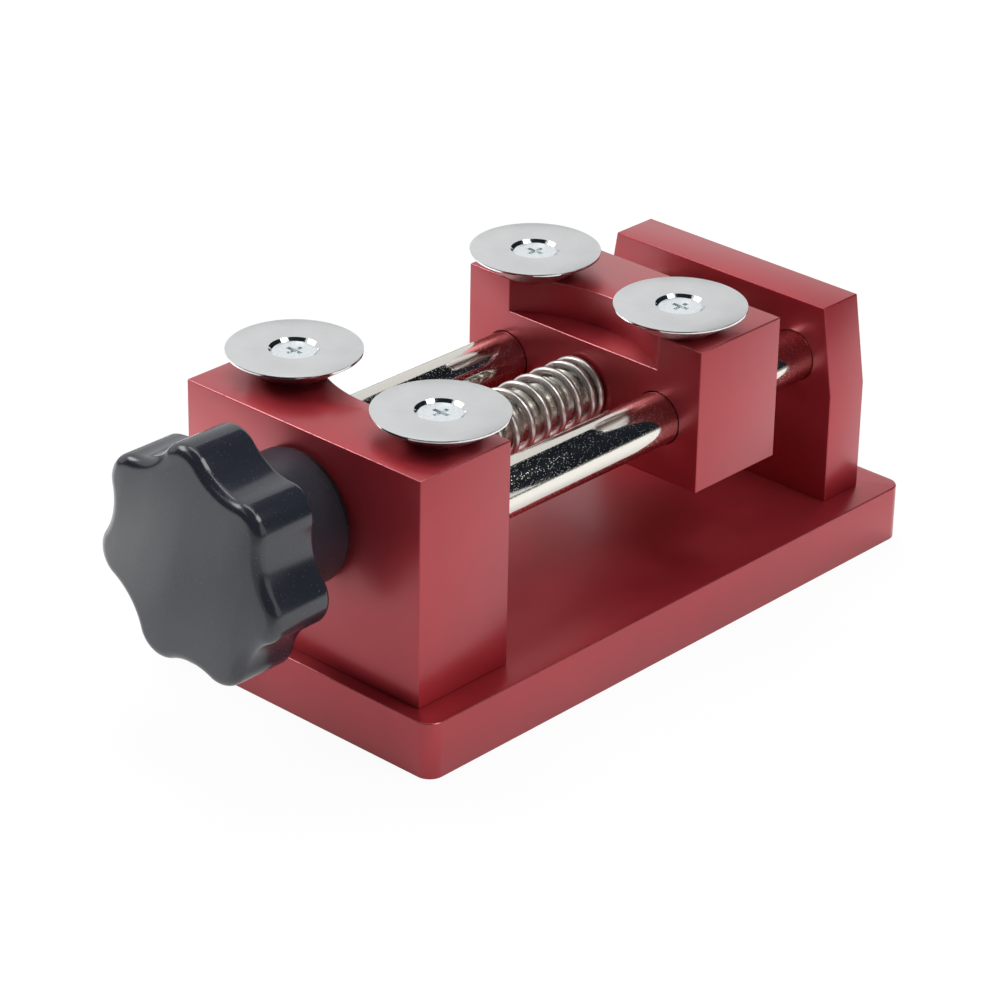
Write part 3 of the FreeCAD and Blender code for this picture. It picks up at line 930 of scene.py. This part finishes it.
class CASEOPENER_OT_bearings(Operator):
    """Bronze bushes and nut, the thrust washer and the knob's insert"""

    bl_idname = "case_opener.bearings"
    bl_label = "Bearings"

    def execute(self, context):
        bronze, oxide = bronze_material(), oxide_material()
        rod_radius = Extent("guide_rod_left").size.y / 2
        screw_radius = SCREW.size.z / 2
        rings = (
            ("jaw_bush_left", rod_radius + RUNNING_FIT, "jaw_carriage", bronze, "bearing_bronze"),
            ("jaw_bush_right", rod_radius + RUNNING_FIT, "jaw_carriage", bronze, "bearing_bronze"),
            ("lead_nut", screw_radius + RUNNING_FIT, "jaw_carriage", bronze, "bearing_bronze"),
            ("screw_bush", screw_radius + RUNNING_FIT, "vice_frame", bronze, "bearing_bronze"),
            ("thrust_washer", screw_radius + OPEN_FIT, "vice_frame", oxide, "black_oxide"),
        )
        for node, inner, body, material, slot in rings:
            hand_over(tube(node + "_finished", Extent(node), inner), [material], node, body)
        box = Extent("knob_insert")
        radius, start, end = box.size.y / 2, box.low.x, box.high.x
        inner, bottom = screw_radius + SEATED_FIT, SCREW.low.x
        profile = [
            (start, 0), (start, radius), (end, radius), (end, inner), (bottom, inner), (bottom, 0),
        ]
        piece = lying("knob_insert_finished", profile)
        hand_over(piece, [bronze], "knob_insert", "knob_and_screw")
        return {"FINISHED"}


class CASEOPENER_OT_lead_screw(Operator):
    """Closing screw: plain shank through the fixed jaw and a real helical thread beyond it"""

    bl_idname = "case_opener.lead_screw"
    bl_label = "Closing screw"

    def execute(self, context):
        radius = SCREW.size.z / 2
        thread = self.thread(radius - HAIR)
        first, last, tip = FIXED_JAW.high.x - THREAD_LAP, SCREW.high.x, SCREW_TIP_CHAMFER
        envelope = [
            (first, 0), (first, radius + MM), (last - tip - MM, radius + MM), (last, radius - tip),
            (last, 0),
        ]
        combine(thread, lying("envelope", envelope), "INTERSECT")
        start, end, r = SCREW.low.x, FIXED_JAW.high.x, 0.4 * MM
        shank = [(start, 0), (start, radius - r), (start + r, radius), (end, radius), (end, 0)]
        screw = lying("lead_screw_finished", shank)
        combine(screw, thread, "UNION")
        hand_over(screw, [screw_steel_material()], "lead_screw", "knob_and_screw")
        return {"FINISHED"}

    def thread(self, crest):
        """Threaded bar: one pitch of the thread's outline is wound round the axis, and the bar is
        cut off flat inside the shank and past the tip."""
        pitch, merge_reach = sizes().thread_pitch, 0.001 * MM
        root = crest - sizes().thread_depth
        start = FIXED_JAW.high.x - THREAD_LAP - MM - pitch
        turns = int((SCREW.high.x + 2 * pitch - start) / pitch) + 1
        tooth = [(0.0, root), (0.44, crest), (0.56, crest), (1.0, root)]
        bar = outline("thread", [
            Vector((start + share * pitch, radius, AXIS_HEIGHT)) for share, radius in tooth
        ])
        apply_place(bar)
        with Editing(bar, "VERT") as edit:
            edit.everything()
            bpy.ops.transform.translate(value=(0, 0, -AXIS_HEIGHT))
        apply_modifier(
            bar, "SCREW", axis="X", angle=2 * pi, screw_offset=pitch, iterations=turns,
            steps=36, render_steps=36, use_merge_vertices=True, merge_threshold=merge_reach,
        )
        with Editing(bar, "VERT") as edit:
            edit.everything()
            bpy.ops.transform.translate(value=(0, 0, AXIS_HEIGHT))
            bpy.ops.mesh.remove_doubles(threshold=merge_reach)
            inside_shank, past_tip = FIXED_JAW.high.x - THREAD_LAP - MM / 2, SCREW.high.x + MM / 2
            for place, outer in ((inside_shank, False), (past_tip, True)):
                edit.everything()
                bpy.ops.mesh.bisect(
                    plane_co=(place, 0, 0), plane_no=(1, 0, 0), use_fill=True,
                    clear_inner=not outer, clear_outer=outer,
                )
            edit.everything()
            bpy.ops.mesh.normals_make_consistent(inside=False)
        return bar


# Spring
SPRING_SIDES = 16
SPRING_STEPS = 56


class CASEOPENER_OT_return_spring(Operator):
    """Open coil spring with closed ends"""

    bl_idname = "case_opener.return_spring"
    bl_label = "Return spring"

    def execute(self, context):
        wire = sizes().spring_wire / 2
        clear = wire + RUNNING_FIT
        start = FIXED_JAW.high.x + clear
        span = MOVING_JAW.low.x - clear - start
        turns = sizes().spring_turns
        deselect_all()
        bpy.ops.mesh.primitive_circle_add(vertices=SPRING_SIDES, radius=wire, fill_type="NOTHING")
        spring = take_new_piece("return_spring_finished")
        with Editing(spring, "VERT") as edit:
            edit.everything()
            bpy.ops.transform.translate(value=(0, sizes().spring_diameter / 2 - wire, 0))
        apply_modifier(
            spring, "SCREW", axis="X", angle=2 * pi * turns, screw_offset=span, iterations=1,
            steps=SPRING_STEPS * turns, render_steps=SPRING_STEPS * turns,
        )
        self.close_ends(spring, span)
        with Editing(spring, "VERT") as edit:
            edit.everything()
            bpy.ops.mesh.fill_holes(sides=SPRING_SIDES)
            edit.everything()
            bpy.ops.mesh.normals_make_consistent(inside=False)
        spring.rotation_euler = (sizes().spring_start, 0, 0)
        spring.location = (start, 0, AXIS_HEIGHT)
        apply_place(spring)
        self.follow_evenly(spring)
        hand_over(spring, [spring_material()], "return_spring", None)
        return {"FINISHED"}

    def close_ends(self, spring, span):
        """Slides each ring of the evenly wound wire along X: the pitch falls towards both ends."""
        turns = sizes().spring_turns
        for point in spring.data.vertices:
            turn = (point.index // SPRING_SIDES) / SPRING_STEPS
            if turn < turns / 2:
                place = self.rise(turn, span)
            else:
                place = span - self.rise(turns - turn, span)
            point.co.x += place - span * turn / turns

    def rise(self, from_end, span):
        """Way along X in this many turns from either end of the wire."""
        ease, end_pitch = sizes().spring_ease, sizes().spring_end_pitch
        body_pitch = (span - ease * end_pitch) / (sizes().spring_turns - ease)
        eased = min(from_end, ease)
        full_turns = eased ** 2 / (2 * ease) + from_end - eased
        return end_pitch * from_end + (body_pitch - end_pitch) * full_turns

    def follow_evenly(self, spring):
        """Each point is moved along X to where the easing gives it an even share, the transform is
        baked, and each point is moved back. The closed end turns keep a share of 0 or 1."""
        start, end = FIXED_JAW.high.x, MOVING_JAW.low.x
        closed = 2 * sizes().spring_wire
        places = [point.co.x for point in spring.data.vertices]
        for point in spring.data.vertices:
            share = (point.co.x - start - closed) / (end - start - 2 * closed)
            share = min(max(share, 0.0), 1.0)
            point.co.x = start + (end - start) * (0.5 - sin(asin(1 - 2 * share) / 3))
        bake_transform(spring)
        for point, place in zip(spring.data.vertices, places):
            point.co.x = place


# Knob
class CASEOPENER_OT_star_knob(Operator):
    """Lobed head with a rounded front and a round hub, moulded in one"""

    bl_idname = "case_opener.star_knob"
    bl_label = "Knob"

    def execute(self, context):
        box = Extent("star_knob")
        head = self.head(box.low.x)
        hub = self.hub(box.low.x + sizes().knob_thickness, box.high.x)
        combine(head, hub, "UNION")
        insert = Extent("knob_insert")
        pocket = plain(insert.size.y / 2 + SEATED_FIT, insert.low.x, box.high.x + MM)
        cut(head, lying("pocket", pocket))
        back = box.low.x + sizes().knob_thickness + 0.1 * MM
        finish_faces(head, lambda face: face.calc_center_median().x > back)
        materials = [knob_material(), knob_hub_material()]
        hand_over(head, materials, "star_knob", "knob_and_screw", angle=40)
        return {"FINISHED"}

    def head(self, front):
        """Lobed head: a point is spun about each lobe's centre and back about each notch's.
        Spin turns from +Z towards +Y for a positive angle."""
        lobes, lobe_radius = sizes().knob_lobes, sizes().lobe_radius
        half_step = pi / lobes
        lobe_way = sizes().knob_tip - lobe_radius
        notch_radius = self.notch_radius(lobe_way, half_step)
        notch_way = sizes().knob_notch + notch_radius
        lobe_turn = atan2(
            notch_way * sin(half_step), notch_way * cos(half_step) - lobe_way,
        )
        notch_turn = lobe_turn - half_step
        first = sizes().lobe_angle
        start = self.around(front, lobe_way, first)
        start += self.around(0, lobe_radius, first - lobe_turn) - self.around(0, 0, 0)
        head = outline("star_knob_finished", [start])
        with Editing(head, "VERT") as edit:
            edit.everything()
            for k in range(lobes):
                angle = first + 2 * half_step * k
                for way, at, turn, steps in (
                    (lobe_way, angle, -2 * lobe_turn, 28),
                    (notch_way, angle + half_step, 2 * notch_turn, 16),
                ):
                    bpy.ops.mesh.spin(
                        steps=steps, angle=turn, center=self.around(front, way, at), axis=X_AXIS,
                    )
            edit.everything()
            bpy.ops.mesh.remove_doubles(threshold=MERGE_REACH)
            edit.everything()
            bpy.ops.mesh.edge_face_add()
            bpy.ops.mesh.extrude_region_move(
                TRANSFORM_OT_translate={"value": (sizes().knob_thickness, 0, 0)}
            )
            edit.everything()
            bpy.ops.mesh.normals_make_consistent(inside=False)
        apply_place(head)
        with Editing(head, "EDGE") as edit:
            for x, width, segments in (
                (front, sizes().front_rounding, 8),
                (front + sizes().knob_thickness, sizes().back_rounding, 6),
            ):
                edit.pick(lambda edge: all(abs(end.co.x - x) < HAIR for end in edge.verts))
                bpy.ops.mesh.bevel(
                    offset=width, segments=segments, affect="EDGES", clamp_overlap=False,
                )
        return head

    def notch_radius(self, lobe_way, half_step):
        """Radius of the notch that touches both of its lobes and the notch circle."""
        notch, lobe_radius = sizes().knob_notch, sizes().lobe_radius
        lean = 2 * lobe_way * cos(half_step)
        spread = lobe_way ** 2 + notch ** 2 - lean * notch - lobe_radius ** 2
        return spread / (2 * lobe_radius + lean - 2 * notch)

    def around(self, x, radius, angle):
        """Point on a circle about the screw's axis, with its angle from +Y towards +Z."""
        return Vector((x, radius * cos(angle), AXIS_HEIGHT + radius * sin(angle)))

    def hub(self, start, end):
        """Round hub that flares where it leaves the head and starts inside it."""
        radius = sizes().hub_radius
        inside, flare, steps = start - 3 * MM, 0.8 * MM, 5
        profile = [(inside, 0), (inside, radius + flare), (start, radius + flare)]
        for k in range(1, steps + 1):
            angle = pi / 2 * k / steps
            profile.append((start + flare * (1 - cos(angle)), radius + flare * (1 - sin(angle))))
        profile += [*reversed(rounded_rim(end, radius, 0.4 * MM, -1)), (end, 0)]
        return lying("hub", profile, steps=128)


# Discs and their screws
class CASEOPENER_OT_discs(Operator):
    """Four steel discs with thin rims, countersunk for their screws"""

    bl_idname = "case_opener.discs"
    bl_label = "Discs"

    def execute(self, context):
        for jaw, body in JAW_BODIES:
            for side in SIDES:
                node = jaw + "_disc_" + side
                box = Extent(node)
                disc = self.disc(node + "_finished", box)
                materials = [
                    disc_material("turned steel " + jaw + " " + side, box.middle),
                    polished_steel_material(),
                ]
                hand_over(disc, materials, node, body, angle=25)
        return {"FINISHED"}

    def disc(self, name, box):
        """Dish that widens from its foot to a thin upright rim, with a countersunk hole."""
        low, high, radius = box.low.z, box.high.z, box.size.x / 2
        foot, sink, hole = sizes().disc_foot, sizes().disc_sink, DISC_SCREW_SHANK + OPEN_FIT
        rim = high - sizes().disc_rim
        r = 0.08 * MM
        profile = [
            (low, hole), (low, foot - r), (low + r, foot), (rim, radius - r), (rim + r, radius),
            *reversed(rounded_rim(high, radius, r, -1)),
            (high, sink + r), (high - r, sink), (high - sink + hole, hole), (low, hole),
        ]
        disc = standing(name, profile, box.middle, 160)
        finish_faces(disc, lambda face: -0.1 < face.normal.z < 0.9)
        return disc


class CASEOPENER_OT_disc_screws(Operator):
    """Countersunk cross recess screws through the discs"""

    bl_idname = "case_opener.disc_screws"
    bl_label = "Disc screws"

    def execute(self, context):
        materials = [zinc_material(), dull_zinc_material()]
        for jaw, body in JAW_BODIES:
            node = jaw + "_disc_screws"
            screws = [self.screw(jaw, side, materials) for side in SIDES]
            hand_over(join(node + "_finished", screws), materials, node, body)
        return {"FINISHED"}

    def screw(self, jaw, side, materials):
        box = Extent(jaw + "_disc_screws")
        middle = Extent(jaw + "_disc_" + side).middle
        foot = Vector((middle.x, middle.y, 0))
        low, high, head, shank = box.low.z, box.high.z, box.size.x / 2, DISC_SCREW_SHANK
        r, tip = 0.1 * MM, 0.4 * MM
        profile = [
            (low, 0), (low, shank - tip), (low + tip, shank), (high - head + shank, shank),
            (high - r, head), (high, head - r), (high, 0),
        ]
        screw = standing("disc_screw", profile, foot, 96)
        cut(screw, self.recess(foot, high))
        floor = high - sizes().recess_depth - r
        reach = sizes().recess_length / 2
        finish_faces(screw, lambda face: self.in_recess(face, foot, reach, floor, high))
        fill_slots(screw, materials)
        return screw

    def in_recess(self, face, foot, reach, floor, top):
        """True for the faces below the head's top and near its axis."""
        middle = face.calc_center_median()
        from_axis = (middle - foot).to_2d().length
        return from_axis < reach and floor < middle.z < top - HAIR

    def recess(self, foot, top):
        """Cross shaped punch whose arms get shorter and thinner towards its tip."""
        width, reach = sizes().recess_width / 2, sizes().recess_length / 2
        depth = sizes().recess_depth
        arms = []
        for across, beside in ((X_AXIS, Y_AXIS), (Y_AXIS, X_AXIS)):
            half = across * reach + beside * width + Z_AXIS * depth
            middle = foot + Z_AXIS * top
            arm = add_block("arm", middle - half, middle + half)
            with Editing(arm, "VERT") as edit:
                edit.pick(lambda point: point.co.z < top)
                narrower = across * 0.5 + beside * 0.3 + Z_AXIS
                bpy.ops.transform.resize(value=narrower, center_override=middle)
            arms.append(arm)
        combine(arms[0], arms[1], "UNION")
        return arms[0]


# Stage
CAMERA_TARGET = Vector((-11.434, 0.0, 22.621)) * MM
CAMERA_DISTANCE = 708.59 * MM
CAMERA_AZIMUTH = radians(-47.562)
CAMERA_ELEVATION = radians(26.906)
CAMERA_ROLL = radians(1.122)
CAMERA_LENS = 140.08
CARD_DISTANCE = 1.5
LAMP_DISTANCE = 1.25


def heading(azimuth, elevation):
    """Direction out from the set, in degrees from +X towards +Y and upwards."""
    a, e = radians(azimuth), radians(elevation)
    return Vector((cos(a) * cos(e), sin(a) * cos(e), sin(e)))


class CASEOPENER_OT_stage(Operator):
    """Pale floor, soft studio light and the camera"""

    bl_idname = "case_opener.stage"
    bl_label = "Stage"

    def execute(self, context):
        self.floor()
        self.cards()
        self.world(context.scene)
        self.lamps()
        self.camera(context.scene)
        context.scene.view_settings.view_transform = "Standard"
        return {"FINISHED"}

    def floor(self):
        deselect_all()
        bpy.ops.mesh.primitive_plane_add(size=8, location=(0, 0, -0.02 * MM))
        floor = take_new_piece("floor")
        recipe = new_recipe("pale floor")
        path, polished = recipe.rays()
        seen = recipe.spread(0.94 * path + 0.25 * polished, 0, 1)
        paper = recipe.add("ShaderNodeBsdfDiffuse", None, {"Color": (0.92, 0.92, 0.92, 1)})
        # Painted light: in reflections the paper glows brighter than white on the left box's side.
        strength = 1 + polished * self.painted_left_glow(recipe)
        white = recipe.add("ShaderNodeEmission", None, {"Color": (1, 1, 1, 1), "Strength": strength})
        lit = recipe.add("ShaderNodeMixShader", None, {0: seen, 1: paper, 2: white})
        unlit = recipe.add("ShaderNodeBsdfDiffuse", None, {"Color": (0, 0, 0, 1)})
        # Painted shade: in reflections the paper fades to black away from the set and at the knob's
        # end.
        painted_floor_shade = polished * (1 - self.pool(recipe))
        surface = recipe.add("ShaderNodeMixShader", None, {0: painted_floor_shade, 1: lit, 2: unlit})
        floor.data.materials.append(recipe.ending(surface))

    def pool(self, recipe):
        """Painted light and shade on the paper as reflections see it: a pool, bright near the set and
        dimmer far out and at the knob's end.
        """
        where = recipe.place()
        distance = recipe.distance(where)
        along_screw = recipe.add("ShaderNodeSeparateXYZ", None, {0: where}, output="X")
        round_set = recipe.spread(distance, 0.30, 0.45, 1.0, 0.2)
        return round_set * recipe.spread(along_screw, -0.18, -0.10, 0.45, 1.0)

    def painted_left_glow(self, recipe):
        """Painted light on the paper as reflections see it: a glow brighter than white on the left
        box's side, standing in for that box's light.
        """
        across = recipe.add("ShaderNodeSeparateXYZ", None, {0: recipe.place()}, output="Y")
        own_side = recipe.spread(across, 0.045, 0.075, 0.0, 4.5)
        return own_side * recipe.spread(across.output("X"), -0.10, -0.07, 1.0, 0.0)

    def cards(self):
        """Dark cards at the sides and over the camera, which only polished surfaces see."""
        recipe = new_recipe("dark card")
        cloth = recipe.add("ShaderNodeBsdfDiffuse", None, {"Color": (0.016, 0.021, 0.030, 1)})
        material = recipe.ending(cloth)
        for name, azimuth, elevation, width, height in (
            ("right_card", -25, 26, 2.3, 2.8),
            ("left_card", 166, 12, 2.8, 1.4),
            ("camera_card", -135, 14, 1.4, 1.2),
            ("ceiling_card", -138, 62, 2.0, 1.5),
        ):
            back = heading(azimuth, elevation)
            deselect_all()
            bpy.ops.mesh.primitive_plane_add(
                size=1, location=back * CARD_DISTANCE, rotation=back.to_track_quat("Z", "Y").to_euler(),
            )
            card = take_new_piece(name)
            card.scale = (width, height, 1)
            card.data.materials.append(material)
            card.visible_camera = False
            card.visible_diffuse = False
            card.visible_shadow = False

    def world(self, scene):
        world = bpy.data.worlds.new("studio")
        scene.world = world
        recipe = Recipe(world)
        path, polished = recipe.rays()
        seen = recipe.spread(path + 0.75 * polished, 0, 1)
        light = recipe.add("ShaderNodeBackground", None, {"Color": (0.96, 0.98, 1, 1), "Strength": 0.4})
        white = recipe.add("ShaderNodeBackground", None, {"Color": (1, 1, 1, 1), "Strength": 1.0})
        surface = recipe.add("ShaderNodeMixShader", None, {0: seen, 1: light, 2: white})
        recipe.add("ShaderNodeOutputWorld", None, {"Surface": surface})

    def lamps(self):
        """Soft boxes high behind the set and at the camera's left and right, and a strip overhead."""
        for name, azimuth, elevation, width, height, power, mirrored in (
            ("back_box", 52, 58, 1.1, 1.1, 11, False),
            ("left_box", 119, 42, 0.64, 0.46, 4.7, True),
            ("right_box", -79, 53, 0.66, 0.42, 4.7, True),
            ("overhead_strip", 0, 87, 1.2, 0.2, 2.5, True),
        ):
            back = heading(azimuth, elevation)
            deselect_all()
            bpy.ops.object.light_add(type="AREA", location=back * LAMP_DISTANCE)
            lamp = bpy.context.active_object
            lamp.name = name
            lamp.data.shape = "RECTANGLE"
            lamp.data.size = width
            lamp.data.size_y = height
            lamp.data.energy = power
            lamp.visible_glossy = mirrored
            lamp.rotation_euler = back.to_track_quat("Z", "Y").to_euler()

    def camera(self, scene):
        a, e, r = CAMERA_AZIMUTH, CAMERA_ELEVATION, CAMERA_ROLL
        back = Vector((sin(a) * cos(e), -cos(a) * cos(e), sin(e)))
        level = Vector((cos(a), sin(a), 0))
        upright = back.cross(level)
        right = cos(r) * level + sin(r) * upright
        up = cos(r) * upright - sin(r) * level
        place = CAMERA_TARGET + back * CAMERA_DISTANCE
        deselect_all()
        bpy.ops.object.camera_add()
        camera = bpy.context.active_object
        camera.matrix_world = Matrix((
            (right.x, up.x, back.x, place.x),
            (right.y, up.y, back.y, place.y),
            (right.z, up.z, back.z, place.z),
            (0, 0, 0, 1),
        ))
        camera.data.sensor_fit = "HORIZONTAL"
        camera.data.sensor_width = 36
        camera.data.lens = CAMERA_LENS
        camera.data.clip_start = 0.01
        camera.data.clip_end = 20
        scene.camera = camera


PIECE_OPERATORS = (
    CASEOPENER_OT_base_plate,
    CASEOPENER_OT_base_screws,
    CASEOPENER_OT_fixed_jaw,
    CASEOPENER_OT_moving_jaw,
    CASEOPENER_OT_rear_plate,
    CASEOPENER_OT_guide_rods,
    CASEOPENER_OT_bearings,
    CASEOPENER_OT_lead_screw,
    CASEOPENER_OT_return_spring,
    CASEOPENER_OT_star_knob,
    CASEOPENER_OT_discs,
    CASEOPENER_OT_disc_screws,
    CASEOPENER_OT_stage,
)


class CASEOPENER_PT_pieces(Panel):
    """Lists the pieces with their sizes and finishes"""

    bl_label = "Watch case opener"
    bl_idname = "CASEOPENER_PT_pieces"
    bl_space_type = "VIEW_3D"
    bl_region_type = "UI"
    bl_category = "Case opener"

    def draw(self, context):
        column = self.layout.column(align=True)
        for operator in PIECE_OPERATORS:
            column.operator(operator.bl_idname)
        for group in (context.scene.case_opener_sizes, context.scene.case_opener_finishes):
            column = self.layout.column(align=True)
            for name in group.__annotations__:
                column.prop(group, name)


CLASSES = (CaseOpenerSizes, CaseOpenerFinishes, *PIECE_OPERATORS, CASEOPENER_PT_pieces)


def register():
    for item in CLASSES:
        bpy.utils.register_class(item)
    bpy.types.Scene.case_opener_sizes = PointerProperty(type=CaseOpenerSizes)
    bpy.types.Scene.case_opener_finishes = PointerProperty(type=CaseOpenerFinishes)


def unregister():
    del bpy.types.Scene.case_opener_finishes
    del bpy.types.Scene.case_opener_sizes
    for item in reversed(CLASSES):
        bpy.utils.unregister_class(item)


def main():
    register()
    for operator in PIECE_OPERATORS:
        group, name = operator.bl_idname.split(".")
        getattr(getattr(bpy.ops, group), name)()


if __name__ == "__main__":
    main()
